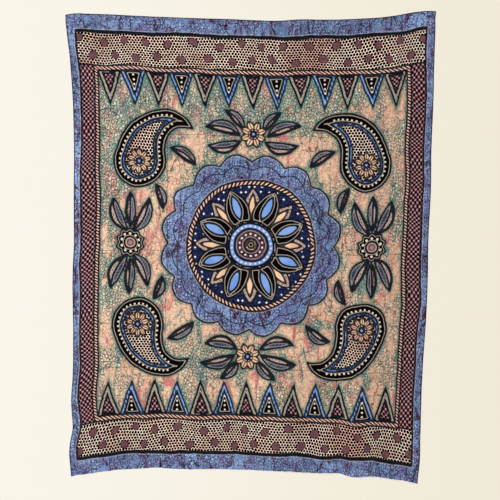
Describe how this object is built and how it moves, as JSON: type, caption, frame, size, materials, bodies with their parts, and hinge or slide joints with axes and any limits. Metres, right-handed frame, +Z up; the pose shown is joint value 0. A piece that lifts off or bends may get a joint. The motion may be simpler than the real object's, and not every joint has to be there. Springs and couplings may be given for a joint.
{
  "type": "batik wall panel",
  "caption": "Cut length of resist-dyed cotton that hangs flat as a wall panel, with soft folds and bare cut edges.",
  "frame": {"origin": "middle of the top edge, in the plane of the wall that the panel hangs on", "axes": "+X to the viewer's right, +Z up along the hanging cloth, +Y into the wall; the dyed front faces -Y"},
  "size_m": [0.923, 0.0219, 1.1796],
  "materials": {
    "dyed_cotton": "matt plain-weave cotton, resist-dyed in peach, teal, mauve, maroon and blue, with fine crackle"
  },
  "bodies": {
    "root": {"panel": "dyed_cotton"}
  },
  "joints": []
}
